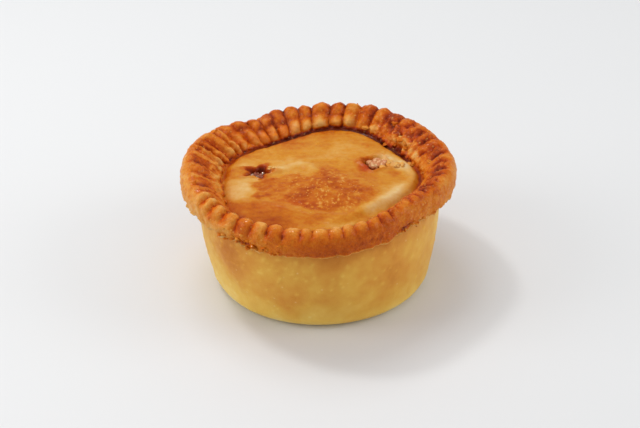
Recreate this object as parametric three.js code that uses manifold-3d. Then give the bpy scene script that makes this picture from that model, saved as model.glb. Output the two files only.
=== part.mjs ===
// A whole pork pie: a raised case of hot-water-crust pastry, filled, lidded and crimped by hand.
// Case, crimped rim and lid bake into one crust round the filling, so an uncut pie is one solid.
// Units are millimetres, +Z is up, and the pie stands on z = 0 with its box centred on the origin.

import * as THREE from 'three';
import { mergeVertices } from 'three/addons/utils/BufferGeometryUtils.js';
import Module from 'manifold-3d';

// ---- Driving dimensions -------------------------------------------------------------------

// Case
const BASE_RADIUS = 39.9; // the foot, just above the rounded bottom edge
const BASE_CORNER = 5.7; // radius of the rounded bottom edge
const NECK_RADIUS = 42.4; // where the wall meets the underside of the rim
const WALL_BULGE = 1.6; // how far the filling pushes the wall out at half height
const NECK_FOLLOWS_RIM = 0.5; // share of the rim's unevenness that the wall takes up at the neck

// Rim
const RIM_RADIUS = 48.2; // mean outer radius of the crimped rim
const LIP_HEIGHT = 35.9; // bottom edge of the rim
const CREST_HEIGHT = 45.0; // top of the rim
const LIP_INSET = 0.3; // how far the lip is tucked in under the widest line
const UNDERCUT = 0.5; // rise of the underside from the lip to the wall
const SHOULDER = 4.2; // from the widest line in to the crest
const WIDEST_AT = 0.34; // height of the widest line, as a share of lip to crest
const ROUNDNESS_OUTSIDE = 2.2; // exponent of the rim's outer curve, 2 is an ellipse
const ROUNDNESS_INSIDE = 1.35; // exponent of the curve from the crest down to the seam

// Crimps
const CRIMPS = 54; // pinches round the rim
const CRIMP_DEPTH = 1.2; // depth of the nick between two pinches
const CRIMP_FULLNESS = 0.6; // exponent of the pinch's section, small is a full round with a sharp nick
const CRIMP_UNEVENNESS = 0.65; // how far a pinch strays from its even place, in pinches
const NICK_AT_SIDES = 0.35; // share of the nicks' depth on the outer face at the two sides
const NICK_AT_SEAM = 0.2; // share left where the flutes run out at the seam
const NICK_OUTWARD = 0.6; // a nick on the inner face also goes this much of its depth outwards

// Lid
const SEAM_RADIUS = 34.8; // mean radius of the groove between lid and rim
const SEAM_HEIGHT = 36.5; // bottom of that groove
const SEAM_HALF_WIDTH = 1.0;
const SEAM_STEP = 0.5; // the flutes end this much above the groove's bottom
const LID_EDGE_HEIGHT = 38.1; // the lid just inside the groove
const LID_DOME = 1.0; // rise of the lid from its edge to its middle
const LID_PUFF = { height: 0.35, acrossX: 41, acrossY: 35 }; // low swells and their wavelengths
const LID_SAG = { direction: -45, from: 25, slope: 0.16 }; // the lid dips to the seam past here
const VENTS = [
  // centre, half length, half width, depth below the lid, turn in degrees
  { x: -22.2, y: 6.4, length: 3.6, width: 2.2, depth: 3.0, turn: 20 },
  { x: 21.2, y: 11.2, length: 3.9, width: 2.3, depth: 2.6, turn: -18 },
];

// Hand-raised unevenness: each wave is [lobes around, size, direction of a peak in degrees],
// counter-clockwise from +X
const RIM_WAVES = [[1, 2.5, 110], [2, 0.7, 23], [3, 1.15, 30], [4, 0.7, -6], [5, 0.55, -3]];
const RIM_LIFT_WAVES = [[1, 1.1, -64], [3, 0.35, 59]];
const WALL_WAVES = [[1, 0.5, 143], [2, 0.55, -34], [3, 0.4, -21]];
const SEAM_WAVES = [[2, 1.9, 54], [3, 0.4, 48], [4, 0.95, -10], [5, 1.4, 4]];
const CRIMP_WAVES = [[1, 1, 115], [2, 0.98, -69], [3, 0.26, 16], [4, 0.2, -19], [5, 0.14, -34]];

// A knock in the rim at the back left
const DENT = { direction: 124, halfWidth: 9.5, depth: 3.4 };

// Where the pinches were pressed smooth again, at the front right
const SMOOTHED = { direction: -42, halfWidth: 26, share: 0.75 };

// Resolution
const STEPS_PER_CRIMP = 4; // on the rim; the case and the lid take half of that
const CORNER_STEPS = 4;
const WALL_STEPS = 4;
const OUTSIDE_STEPS = 5;
const INSIDE_STEPS = 5;
const LID_RINGS = [1, 0.84, 0.6, 0.32];

// ---- Small helpers ------------------------------------------------------------------------

const rad = THREE.MathUtils.degToRad;

const waves = (list, angle) =>
  list.reduce((sum, [lobes, size, peak]) => sum + size * Math.cos(lobes * (angle - rad(peak))), 0);

// A smooth bump of height 1 round the pie, centred on a direction, with a half-width in degrees
function towards(angle, centre, halfWidth) {
  const turn = Math.atan2(Math.sin(angle - rad(centre)), Math.cos(angle - rad(centre)));
  return Math.exp(-((turn / rad(halfWidth)) ** 2));
}

// One quarter of a superellipse: x falls from 1 to 0 while y rises from 0 to 1
function quarter(share, roundness) {
  const angle = share * Math.PI / 2;
  return [Math.cos(angle) ** (2 / roundness), Math.sin(angle) ** (2 / roundness)];
}

// ---- Uneven outlines ----------------------------------------------------------------------

const rimRadius = (angle) =>
  RIM_RADIUS + waves(RIM_WAVES, angle) - DENT.depth * towards(angle, DENT.direction, DENT.halfWidth);

const rimLift = (angle) => waves(RIM_LIFT_WAVES, angle);

const seamRadius = (angle) => SEAM_RADIUS + waves(SEAM_WAVES, angle);

const wallWaves = (angle) => waves(WALL_WAVES, angle);

// Angle of a place counted in crimps, so that uneven pinches still meet round the rim
function crimpAngle(place) {
  const even = place * 2 * Math.PI / CRIMPS;
  return even + waves(CRIMP_WAVES, even) * CRIMP_UNEVENNESS * 2 * Math.PI / CRIMPS;
}

// Depth of the nicks round the rim
const nickDepth = (angle) =>
  CRIMP_DEPTH * (1 - SMOOTHED.share * towards(angle, SMOOTHED.direction, SMOOTHED.halfWidth));

// How far a place on the rim lies below the top of its pinch
function nick(place) {
  const full = Math.abs(Math.sin(Math.PI * place)) ** CRIMP_FULLNESS;
  return nickDepth(crimpAngle(place)) * (1 - full);
}

// On the outer face the nicks run out before they reach the lip, soonest at the two sides
const outerNick = (angle, share) =>
  share ** 2 * THREE.MathUtils.lerp(NICK_AT_SIDES, 1, Math.sin(angle) ** 2);

function lidHeight(x, y) {
  const spread = Math.hypot(x, y) / SEAM_RADIUS;
  const dome = LID_DOME * (1 - spread ** 2);
  const swell = Math.cos(2 * Math.PI * x / LID_PUFF.acrossX) * Math.cos(2 * Math.PI * y / LID_PUFF.acrossY);
  const puff = LID_PUFF.height * swell * (1 - spread);
  const out = x * Math.cos(rad(LID_SAG.direction)) + y * Math.sin(rad(LID_SAG.direction));
  return LID_EDGE_HEIGHT + dome + puff - LID_SAG.slope * Math.max(0, out - LID_SAG.from);
}

// ---- Rings of the crust, from the foot up over the rim and in across the lid --------------
// Each ring gives the radius and the height at a place counted in crimps.

function caseRings() {
  const rings = [];
  for (let i = 0; i <= CORNER_STEPS; i++) {
    const turn = rad(-90 + 90 * i / CORNER_STEPS);
    const out = BASE_CORNER * Math.cos(turn);
    const height = BASE_CORNER * (1 + Math.sin(turn));
    rings.push((place) => [BASE_RADIUS - BASE_CORNER + out + wallWaves(crimpAngle(place)), height]);
  }
  for (let i = 1; i <= WALL_STEPS; i++) {
    const share = i / WALL_STEPS;
    rings.push((place) => {
      const angle = crimpAngle(place);
      const top = LIP_HEIGHT + UNDERCUT + rimLift(angle);
      const mean = THREE.MathUtils.lerp(BASE_RADIUS, NECK_RADIUS, share);
      const atNeck = NECK_FOLLOWS_RIM * waves(RIM_WAVES, angle);
      const uneven = THREE.MathUtils.lerp(wallWaves(angle), atNeck, share);
      const radius = mean + WALL_BULGE * Math.sin(Math.PI * share) + uneven;
      return [radius, THREE.MathUtils.lerp(BASE_CORNER, top, share)];
    });
  }
  return rings;
}

function rimRings() {
  const rings = [];
  const rise = CREST_HEIGHT - LIP_HEIGHT;
  const widest = LIP_HEIGHT + WIDEST_AT * rise;

  // The lip, a pressed edge under the overhang
  rings.push((place) => {
    const angle = crimpAngle(place);
    return [rimRadius(angle) - LIP_INSET, LIP_HEIGHT + rimLift(angle)];
  });

  // Outer face, from the widest line up over the shoulder to the crest
  for (let i = 0; i < OUTSIDE_STEPS; i++) {
    const [across, up] = quarter(i / OUTSIDE_STEPS, ROUNDNESS_OUTSIDE);
    rings.push((place) => {
      const angle = crimpAngle(place);
      const sunk = nick(place) * outerNick(angle, (i + 1) / OUTSIDE_STEPS);
      const radius = rimRadius(angle) - SHOULDER * (1 - across) - sunk * across;
      return [radius, widest + (CREST_HEIGHT - widest) * up + rimLift(angle) - sunk * up];
    });
  }

  // Crest, and the fluted inner face down to the seam
  for (let i = 0; i <= INSIDE_STEPS; i++) {
    const [up, across] = quarter(i / INSIDE_STEPS, ROUNDNESS_INSIDE);
    rings.push((place) => {
      const angle = crimpAngle(place);
      const crest = rimRadius(angle) - SHOULDER;
      const foot = seamRadius(angle) + SEAM_HALF_WIDTH;
      const footHeight = SEAM_HEIGHT + SEAM_STEP;
      const crestHeight = CREST_HEIGHT + rimLift(angle);
      const sunk = nick(place) * THREE.MathUtils.lerp(1, NICK_AT_SEAM, across ** 3);
      const radius = crest - (crest - foot) * across + NICK_OUTWARD * sunk * across;
      return [radius, footHeight + (crestHeight - footHeight) * up - sunk];
    });
  }
  return rings;
}

function lidRings() {
  const rings = [(place) => [seamRadius(crimpAngle(place)), SEAM_HEIGHT]];
  for (const share of LID_RINGS) {
    rings.push((place) => {
      const angle = crimpAngle(place);
      const radius = share * (seamRadius(angle) - SEAM_HALF_WIDTH);
      return [radius, lidHeight(radius * Math.cos(angle), radius * Math.sin(angle))];
    });
  }
  return rings;
}

// ---- The crust as one closed skin ---------------------------------------------------------

// Places a ring's points, counter-clockwise from above
function placeRing(points, ring, steps) {
  const first = points.length;
  for (let i = 0; i < steps; i++) {
    const place = i * CRIMPS / steps;
    const angle = crimpAngle(place);
    const [radius, height] = ring(place);
    points.push([radius * Math.cos(angle), radius * Math.sin(angle), height]);
  }
  return { first, steps };
}

// Joins two rings with faces that point out, the lower ring being the one nearer the foot.
// Where one ring has twice the steps of the other, two of its steps meet each coarse one.
function join(faces, lower, upper) {
  const steps = Math.min(lower.steps, upper.steps);
  for (let i = 0; i < steps; i++) {
    const onRing = (ring, step) => {
      const perStep = ring.steps / steps;
      return ring.first + (Math.round(step * perStep) % ring.steps);
    };
    const [a, b] = [onRing(lower, i), onRing(lower, i + 1)];
    const [c, d] = [onRing(upper, i), onRing(upper, i + 1)];
    if (upper.steps > lower.steps) {
      const middle = onRing(upper, i + 0.5);
      faces.push([a, b, middle], [a, middle, c], [b, d, middle]);
    } else if (lower.steps > upper.steps) {
      const middle = onRing(lower, i + 0.5);
      faces.push([a, middle, c], [middle, d, c], [middle, b, d]);
    } else {
      faces.push([a, b, d], [a, d, c]);
    }
  }
}

function crustGeometry() {
  const fine = CRIMPS * STEPS_PER_CRIMP;
  const coarse = fine / 2;
  const points = [];
  const faces = [];

  const rings = [
    ...caseRings().map((ring) => placeRing(points, ring, coarse)),
    ...rimRings().map((ring) => placeRing(points, ring, fine)),
    ...lidRings().map((ring) => placeRing(points, ring, coarse)),
  ];
  for (let i = 1; i < rings.length; i++) join(faces, rings[i - 1], rings[i]);

  // The flat foot and the middle of the lid close on a point each
  const foot = rings[0];
  const lid = rings[rings.length - 1];
  const footCentre = points.push([0, 0, 0]) - 1;
  const lidCentre = points.push([0, 0, lidHeight(0, 0)]) - 1;
  for (let i = 0; i < foot.steps; i++) {
    const next = (i + 1) % foot.steps;
    faces.push([footCentre, foot.first + next, foot.first + i]);
    faces.push([lidCentre, lid.first + i, lid.first + next]);
  }

  const geometry = new THREE.BufferGeometry();
  geometry.setAttribute('position', new THREE.Float32BufferAttribute(points.flat(), 3));
  geometry.setIndex(faces.flat());
  return geometry;
}

// Each vent is a small round-bottomed pit where steam and jelly broke through the lid
function ventGeometry(vent) {
  const pit = new THREE.SphereGeometry(1, 12, 8);
  pit.scale(vent.length, vent.width, vent.depth);
  pit.rotateZ(rad(vent.turn));
  pit.translate(vent.x, vent.y, lidHeight(vent.x, vent.y));
  return pit;
}

// ---- Cutting the vents --------------------------------------------------------------------

const wasm = await Module();
wasm.setup();

function toSolid(geometry) {
  const skin = geometry.clone();
  skin.deleteAttribute('normal');
  skin.deleteAttribute('uv');
  const merged = mergeVertices(skin, 1e-4);
  return new wasm.Manifold(new wasm.Mesh({
    numProp: 3,
    vertProperties: new Float32Array(merged.attributes.position.array),
    triVerts: new Uint32Array(merged.index.array),
  }));
}

function toGeometry(solid) {
  const mesh = solid.getMesh();
  const geometry = new THREE.BufferGeometry();
  geometry.setAttribute('position', new THREE.Float32BufferAttribute(mesh.vertProperties, 3));
  geometry.setIndex(Array.from(mesh.triVerts));
  return geometry;
}

function pieGeometry() {
  let pie = toSolid(crustGeometry());
  for (const vent of VENTS) pie = pie.subtract(toSolid(ventGeometry(vent)));
  const geometry = toGeometry(pie);
  geometry.computeBoundingBox();
  const centre = geometry.boundingBox.getCenter(new THREE.Vector3());
  geometry.translate(-centre.x, -centre.y, 0);
  geometry.computeVertexNormals();
  return geometry;
}

// ---- The part -----------------------------------------------------------------------------

const bakedCrust = new THREE.MeshStandardMaterial({ color: 0xc98542, roughness: 0.45, metalness: 0 });

const pie = new THREE.Mesh(pieGeometry(), bakedCrust);
pie.name = 'pie';

const part = new THREE.Group();
part.add(pie);

export default part;
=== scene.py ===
"""A hand-raised pork pie: one baked crust of case, crimped rim and lid, with what shows in its vents.

Sizes are in millimetres until a mesh is made, which is in metres. Directions round the pie are in
degrees, counter-clockwise from +X as seen from above, so the front of the pie is at -90.
"""

import math

import bmesh
import bpy
import numpy as np
from mathutils import Matrix, Vector, noise


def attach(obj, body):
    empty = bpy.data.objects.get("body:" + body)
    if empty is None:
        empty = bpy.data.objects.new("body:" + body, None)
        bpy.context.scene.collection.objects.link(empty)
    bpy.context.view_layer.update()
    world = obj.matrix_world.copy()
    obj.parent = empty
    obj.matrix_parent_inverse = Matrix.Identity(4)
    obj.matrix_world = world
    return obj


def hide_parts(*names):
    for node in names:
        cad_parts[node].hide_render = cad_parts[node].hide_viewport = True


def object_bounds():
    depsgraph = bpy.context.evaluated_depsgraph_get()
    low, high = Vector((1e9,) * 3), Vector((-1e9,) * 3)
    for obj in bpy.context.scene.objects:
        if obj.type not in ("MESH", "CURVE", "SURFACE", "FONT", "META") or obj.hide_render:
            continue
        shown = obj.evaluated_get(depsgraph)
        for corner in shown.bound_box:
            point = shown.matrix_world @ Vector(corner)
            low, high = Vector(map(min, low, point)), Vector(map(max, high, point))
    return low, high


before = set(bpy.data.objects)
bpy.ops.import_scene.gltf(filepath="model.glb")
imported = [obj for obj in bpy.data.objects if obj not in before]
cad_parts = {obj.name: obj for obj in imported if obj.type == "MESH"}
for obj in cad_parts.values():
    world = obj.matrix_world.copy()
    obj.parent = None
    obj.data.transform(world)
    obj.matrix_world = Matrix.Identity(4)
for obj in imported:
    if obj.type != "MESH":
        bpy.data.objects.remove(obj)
cad_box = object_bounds()

# ----------------------------------------
# The case. It is hot-water-crust pastry, raised by hand round a wooden block into a tapered tub with
# a rounded foot. It bakes without egg wash, so it stays golden yellow, with tan patches where the
# oven caught it, and it has small blisters and the soft dents of the fingers that raised it.
# ----------------------------------------

MM = 0.001
CRIMPS = 54
COLUMNS_PER_CRIMP = 16
COLUMNS = CRIMPS * COLUMNS_PER_CRIMP

BASE_RADIUS = 39.9
BASE_CORNER = 5.7
NECK_RADIUS = 42.4
WALL_BULGE = 1.6
LIP_HEIGHT = 35.9
UNDERCUT = 0.5
NECK_FOLLOWS_RIM = 0.5

# Hand-raised unevenness, as (lobes around, size, direction of a peak)
RIM_WAVES = ((1, 2.5, 110), (2, 0.7, 23), (3, 1.15, 30), (4, 0.7, -6), (5, 0.55, -3))
RIM_LIFT_WAVES = ((1, 1.1, -64), (3, 0.35, 59))
WALL_WAVES = ((1, 0.5, 143), (2, 0.55, -34), (3, 0.4, -21))
CRIMP_WAVES = (
    (1, 0.65, 115), (2, 0.64, -69), (3, 0.17, 16), (4, 0.13, -19), (5, 0.09, -34), (17, 0.07, 3),
    (23, 0.05, 9),
)


def waves(table, angle):
    return sum(size * np.cos(lobes * (angle - math.radians(peak))) for lobes, size, peak in table)


def towards(angle, centre, half_width):
    """1 in one direction, falling off smoothly to 0 on both sides of it."""
    offset = angle - math.radians(centre)
    turn = np.arctan2(np.sin(offset), np.cos(offset))
    return np.exp(-((turn / math.radians(half_width)) ** 2))


def smooth(low, high, value):
    share = np.clip((value - low) / (high - low), 0, 1)
    return share * share * (3 - 2 * share)


def around(*stops):
    """A value for each column that changes smoothly, from stops of (direction, value)."""
    degrees = np.degrees(ANGLE) % 360
    stops = sorted((direction % 360, value) for direction, value in stops)
    first, last = stops[0], stops[-1]
    stops = [(last[0] - 360, last[1])] + stops + [(first[0] + 360, first[1])]
    result = np.zeros_like(degrees)
    for (start, before), (end, after) in zip(stops, stops[1:]):
        share = np.clip((degrees - start) / (end - start), 0, 1)
        value = before + (after - before) * (1 - np.cos(np.pi * share)) / 2
        result = np.where((degrees >= start) & (degrees <= end), value, result)
    return result


def cloud(points, size, octaves=3, seed=0.0):
    """Cloudy noise of about -1 to 1 over points, whose blobs are about size across."""
    places = np.asarray(points) / size + seed
    flat = places.reshape(-1, 3)
    values = [noise.fractal(p, 1.0, 2.0, octaves) for p in flat.tolist()]
    return np.array(values).reshape(places.shape[:-1])


def ring_points(radius, height):
    """A grid of points, one row for each ring, from rows of radius and height round the pie."""
    radius, height = np.broadcast_arrays(radius, height)
    return np.stack([radius * np.cos(ANGLE), radius * np.sin(ANGLE), height], axis=-1)


def outward(points):
    """The direction out of the crust at each point of a grid of rings, foot first."""
    up = np.gradient(points, axis=0)
    along = np.roll(points, -1, axis=1) - np.roll(points, 1, axis=1)
    direction = np.cross(along, up)
    return direction / (np.linalg.norm(direction, axis=-1, keepdims=True) + 1e-9)


even_angle = np.arange(COLUMNS) * 2 * math.pi / COLUMNS
ANGLE = even_angle + waves(CRIMP_WAVES, even_angle) * 2 * math.pi / CRIMPS

rim_waves = waves(RIM_WAVES, ANGLE)
rim_lift = waves(RIM_LIFT_WAVES, ANGLE)
wall_waves = waves(WALL_WAVES, ANGLE)
neck_radius = NECK_RADIUS + NECK_FOLLOWS_RIM * rim_waves

FOOT_RINGS = (12, 24, 31)
CORNER_RINGS = 9
WALL_RINGS = 40

turn = np.radians(np.linspace(-90, 0, CORNER_RINGS))[:, None]
corner_radius = BASE_RADIUS - BASE_CORNER * (1 - np.cos(turn)) + wall_waves
corner_height = BASE_CORNER * (1 + np.sin(turn))

up_wall = np.arange(1, WALL_RINGS + 1)[:, None] / WALL_RINGS
wall_radius = (1 - up_wall) * (BASE_RADIUS + wall_waves) + up_wall * neck_radius
wall_radius = wall_radius + WALL_BULGE * np.sin(math.pi * up_wall)
wall_height = BASE_CORNER + (LIP_HEIGHT + UNDERCUT + rim_lift - BASE_CORNER) * up_wall

foot = np.array(FOOT_RINGS)[:, None] + 0 * ANGLE
case_radius = np.concatenate([foot, corner_radius, wall_radius])
case_height = np.concatenate([0 * foot, corner_height + 0 * ANGLE, wall_height])
case = ring_points(case_radius, case_height)
case_out = outward(case)
raised = smooth(0.0, 4.0, case_height)  # nothing disturbs the flat foot

rng = np.random.default_rng(11)

# Soft dents left by fingers, as (direction, height, reach, depth)
FINGER_DENTS = (
    (-100, 24, 9, 0.45), (-62, 17, 10, 0.4), (-140, 14, 9, 0.35), (-25, 22, 8, 0.35),
    (10, 15, 9, 0.4), (55, 24, 9, 0.45), (98, 16, 10, 0.4), (140, 25, 9, 0.4), (178, 17, 9, 0.35),
)


def on_wall(direction, height, reach):
    """A soft round spot on the wall."""
    angle = math.radians(direction)
    spot = np.array((math.cos(angle) * NECK_RADIUS, math.sin(angle) * NECK_RADIUS, height))
    return np.exp(-(((case - spot) ** 2).sum(axis=-1)) / reach**2)


case_relief = 0.3 * cloud(case, 22, 2, 9.0) + 0.06 * cloud(case, 4, 3, 2.0)
for direction, height, reach, depth in FINGER_DENTS:
    case_relief -= depth * on_wall(direction, height, reach)

# Blisters of steam under the skin, thickest at the front left below the rim, and paler on top
BLISTERS = 260
BLISTER_RISE = 0.28
BLISTER_PALER = 0.2
blister = np.zeros(case.shape[:2])
for _ in range(BLISTERS):
    direction = rng.normal(-128, 24) if rng.random() < 0.5 else rng.uniform(-180, 180)
    height = LIP_HEIGHT - rng.exponential(9) if rng.random() < 0.7 else rng.uniform(5, 34)
    size = rng.uniform(0.35, 0.8)
    strength = rng.uniform(0.3, 1.0)
    angle = math.radians(direction)
    column = int(round(angle / (2 * math.pi) * COLUMNS)) % COLUMNS
    row = int(np.argmin(np.abs(case_height[:, column] - max(height, 4.0))))
    rows = slice(max(row - 4, 0), row + 5)
    columns = (column + np.arange(-8, 9)) % COLUMNS
    patch = case[rows][:, columns]
    reach = ((patch - case[row, column]) ** 2).sum(axis=-1)
    rounded = strength * np.exp(-reach / size**2)
    blister[np.ix_(range(*rows.indices(len(case))), columns)] += rounded
blister = np.clip(blister, 0, 1)
case_relief += BLISTER_RISE * blister
case_skin = case + case_out * (case_relief * raised)[..., None]

# How far the case is baked, 0 pale to 1 dark, to which painted shade and light are added below: (direction,
# height, reach, how much more or less)
TAN_PATCHES = (
    (-138, 24, 9, 0.3), (-118, 19, 9, 0.08), (-104, 13, 10, 0.13), (-84, 31, 8, 0.14), (-60, 19, 12, 0.14),
    (-150, 11, 10, -0.2), (-116, 6, 9, -0.12), (-78, 24, 8, -0.1), (-36, 16, 10, 0.1), (-14, 25, 10, -0.16),
    (30, 20, 14, 0.16), (70, 14, 13, 0.2), (110, 26, 14, 0.15), (145, 12, 13, 0.2), (172, 24, 11, -0.12),
)
case_bake_and_light = 0.46 + 0.11 * cloud(case, 15, 2, 11.0) + 0.11 * cloud(case, 6, 3, 17.0)
for direction, height, reach, more in TAN_PATCHES:
    case_bake_and_light += more * on_wall(direction, height, reach)
# Darker just under the lip, partly browning and partly painted shade under the overhanging rim; paler
# towards the foot, partly painted light bounced up from the floor
below_lip = LIP_HEIGHT + rim_lift - case_height
case_bake_and_light += 0.5 * np.exp(-below_lip.clip(0) / 3.4) - 0.42 * np.exp(-case_height / 6.5)
case_bake_and_light -= BLISTER_PALER * blister


def linear(colour):
    """A hex sRGB colour as linear values."""
    parts = [int(colour[i : i + 2], 16) / 255 for i in (1, 3, 5)]
    return tuple(p / 12.92 if p <= 0.04045 else ((p + 0.055) / 1.055) ** 2.4 for p in parts) + (1.0,)


def add(tree, kind, inputs=None, **settings):
    """Adds a shader node with its settings. Inputs are by name or number, each a value or a socket."""
    node = tree.nodes.new("ShaderNode" + kind)
    for key, value in settings.items():
        setattr(node, key, value)
    for key, value in (inputs or {}).items():
        if isinstance(value, bpy.types.NodeSocket):
            tree.links.new(value, node.inputs[key])
        else:
            node.inputs[key].default_value = value
    return node


def browning(tree, baked, stops, *noises):
    """The colours of one pastry, as (how far baked, colour) stops. Noises of (node, share) mottle it."""
    for pattern, share in noises:
        terms = {0: pattern.outputs["Fac"], 1: share, 2: baked}
        baked = add(tree, "Math", terms, operation="MULTIPLY_ADD").outputs[0]
    middle = sum(share for _, share in noises) / 2
    centred = add(tree, "Math", {0: baked, 1: middle}, operation="SUBTRACT")
    ramp = add(tree, "ValToRGB", {"Fac": centred.outputs[0]})
    elements = ramp.color_ramp.elements
    for element, (position, colour) in zip(elements, (stops[0], stops[-1])):
        element.position = position
        element.color = linear(colour)
    for position, colour in stops[1:-1]:
        elements.new(position).color = linear(colour)
    return ramp.outputs["Color"]


def flecks_of(tree, place, spacing, edge, strength):
    """Round flecks so far apart, full inside the edge's first share of that and gone at its second."""
    spots = add(tree, "TexVoronoi", {"Vector": place, "Scale": 1 / (spacing * MM)})
    reach = {"Value": spots.outputs["Distance"], "From Min": edge[0], "From Max": edge[1]}
    return add(tree, "MapRange", reach | {"To Min": strength, "To Max": 0.0}).outputs["Result"]


def pitted(tree, *pits):
    """The normal of a pitted surface, from the finest pits up, as (noise, strength, depth)."""
    below = {}
    for pattern, strength, depth in pits:
        pit = {"Height": pattern.outputs["Fac"], "Strength": strength, "Distance": depth * MM}
        below = {"Normal": add(tree, "Bump", pit | below).outputs["Normal"]}
    return below["Normal"]


def empty_material(name):
    material = bpy.data.materials.new(name)
    material.use_nodes = True
    material.node_tree.nodes.clear()
    return material, material.node_tree


# Dry-baked pastry: a satin skin, soft mottling, fine pores, and pale flecks where fat rose to it
dry_pastry, tree = empty_material("hot water crust, baked dry")
place = add(tree, "TexCoord").outputs["Object"]
baked = add(tree, "Attribute", attribute_name="bake_and_light").outputs["Fac"]
mottle = add(tree, "TexNoise", {"Vector": place, "Scale": 1 / (2.4 * MM), "Detail": 5.0})
grain = add(tree, "TexNoise", {"Vector": place, "Scale": 1 / (0.5 * MM), "Detail": 3.0})
CASE_BROWNS = (
    (0.0, "#f0d27c"), (0.22, "#e6bc58"), (0.42, "#dca644"), (0.6, "#d39036"), (0.8, "#be7020"),
    (1.0, "#8c440a"),
)
fat_flecks = flecks_of(tree, place, spacing=4.5, edge=(0.05, 0.1), strength=0.26)
crust_colour = browning(tree, baked, CASE_BROWNS, (mottle, 0.16), (grain, 0.07))
flecked_crust = {"Factor": fat_flecks, "A": crust_colour, "B": linear("#f2dca0")}
fleck_mix = add(tree, "Mix", flecked_crust, data_type="RGBA")
satin = add(tree, "MapRange", {"Value": mottle.outputs["Fac"], "To Min": 0.34, "To Max": 0.58})
pastry = add(
    tree,
    "BsdfPrincipled",
    {
        "Base Color": fleck_mix.outputs["Result"],
        "Roughness": satin.outputs["Result"],
        "Normal": pitted(tree, (grain, 0.35, 0.25), (mottle, 0.4, 0.5)),
        "IOR": 1.45,
        "Specular IOR Level": 0.2,
        "Subsurface Weight": 0.06,
        "Subsurface Radius": (1.0, 0.5, 0.2),
        "Subsurface Scale": 2 * MM,
    },
)
add(tree, "OutputMaterial", {"Surface": pastry.outputs["BSDF"]})

# ----------------------------------------
# The rim. Case and lid are pinched together all round between thumb and finger, which leaves a
# thick roll with full rounds and sharp nicks, hanging over the wall. It is brushed with egg, which
# pools in the nicks and bakes dark, and the nicks are darkened further as painted shade. The nicks
# are crisp at the back and pressed away at one side.
# ----------------------------------------

RIM_RADIUS = 48.2
CREST_HEIGHT = 45.0
LIP_INSET = 0.3
SHOULDER = 4.2
WIDEST_AT = 0.34
ROUNDNESS_OUTSIDE = 2.2
ROUNDNESS_INSIDE = 1.35
SEAM_RADIUS = 34.8
SEAM_HEIGHT = 36.5
SEAM_HALF_WIDTH = 1.0
SEAM_STEP = 0.5
SEAM_WAVES = ((2, 1.9, 54), (3, 0.4, 48), (4, 0.95, -10), (5, 1.4, 4))
KNOCK_DIRECTION, KNOCK_WIDTH, KNOCK_DEPTH = 124, 9.5, 3.4

UNDER_RINGS = 4
LOWER_RINGS = 7
OUTER_RINGS = 20
INNER_RINGS = 38

rim_radius = RIM_RADIUS + rim_waves - KNOCK_DEPTH * towards(ANGLE, KNOCK_DIRECTION, KNOCK_WIDTH)
seam_radius = SEAM_RADIUS + waves(SEAM_WAVES, ANGLE)
seam_radius = seam_radius + 0.5 * cloud(ring_points(SEAM_RADIUS, 0 * ANGLE[None, :]), 3.2, 2, 85.0)[0]
lip_radius = rim_radius - LIP_INSET
lip_height = LIP_HEIGHT + rim_lift
widest = LIP_HEIGHT + WIDEST_AT * (CREST_HEIGHT - LIP_HEIGHT)

# Each ring is placed by its travel: -1 at the wall, 0 at the lip, 1 at the crest, 2 at the seam
share = (np.arange(1, UNDER_RINGS) / UNDER_RINGS)[:, None]
under_radius = neck_radius + (lip_radius - neck_radius) * share
under_height = lip_height + UNDERCUT * (1 - share)

rise = (np.arange(LOWER_RINGS) / LOWER_RINGS)[:, None]
lower_radius = rim_radius - LIP_INSET * (1 - rise) ** 2
lower_height = lip_height + (widest - LIP_HEIGHT) * rise

turn = (np.arange(OUTER_RINGS) / OUTER_RINGS * math.pi / 2)[:, None]
outer_radius = rim_radius - SHOULDER * (1 - np.cos(turn) ** (2 / ROUNDNESS_OUTSIDE))
outer_height = widest + (CREST_HEIGHT - widest) * np.sin(turn) ** (2 / ROUNDNESS_OUTSIDE) + rim_lift

bend = (np.arange(INNER_RINGS + 1) / INNER_RINGS * math.pi / 2)[:, None]
inward = np.sin(bend) ** (2 / ROUNDNESS_INSIDE)
crest_radius = rim_radius - SHOULDER
inner_radius = crest_radius - (crest_radius - seam_radius - SEAM_HALF_WIDTH) * inward
inner_foot = SEAM_HEIGHT + SEAM_STEP
inner_height = inner_foot + (CREST_HEIGHT + rim_lift - inner_foot) * np.cos(bend) ** (2 / ROUNDNESS_INSIDE)

rim = ring_points(
    np.concatenate([under_radius, lower_radius, outer_radius, inner_radius]),
    np.concatenate([under_height, lower_height, outer_height, inner_height]),
)
WIDEST_TRAVEL = 0.25
QUARTER = math.pi / 2
up_outside = WIDEST_TRAVEL + (1 - WIDEST_TRAVEL) * turn / QUARTER
travel = np.concatenate([share - 1, WIDEST_TRAVEL * rise, up_outside, 1 + bend / QUARTER])
rim_out = outward(rim)

# Every pinch has its own height, length, browning and share of the egg
places = np.arange(COLUMNS) / COLUMNS_PER_CRIMP


def each_pinch(low, high):
    return rng.uniform(low, high, CRIMPS)[np.floor(places).astype(int) % CRIMPS]


pinch_height = each_pinch(-0.2, 0.35)
pinch_start = each_pinch(-0.08, 0.08)
pinch_end = each_pinch(-0.12, 0.08)
pinch_bake = each_pinch(-1, 1)
pinch_egg = smooth(0.05, 0.4, each_pinch(0, 1))


def near(value, place, reach):
    """1 at a place, falling off smoothly to 0 past its reach on both sides."""
    return np.exp(-(((value - place) / reach) ** 2))


def between(value, none_below, full_from, full_to, none_above):
    """1 between two limits, fading smoothly to 0 past each of them."""
    return smooth(none_below, full_from, value) * (1 - smooth(full_to, none_above, value))


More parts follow.
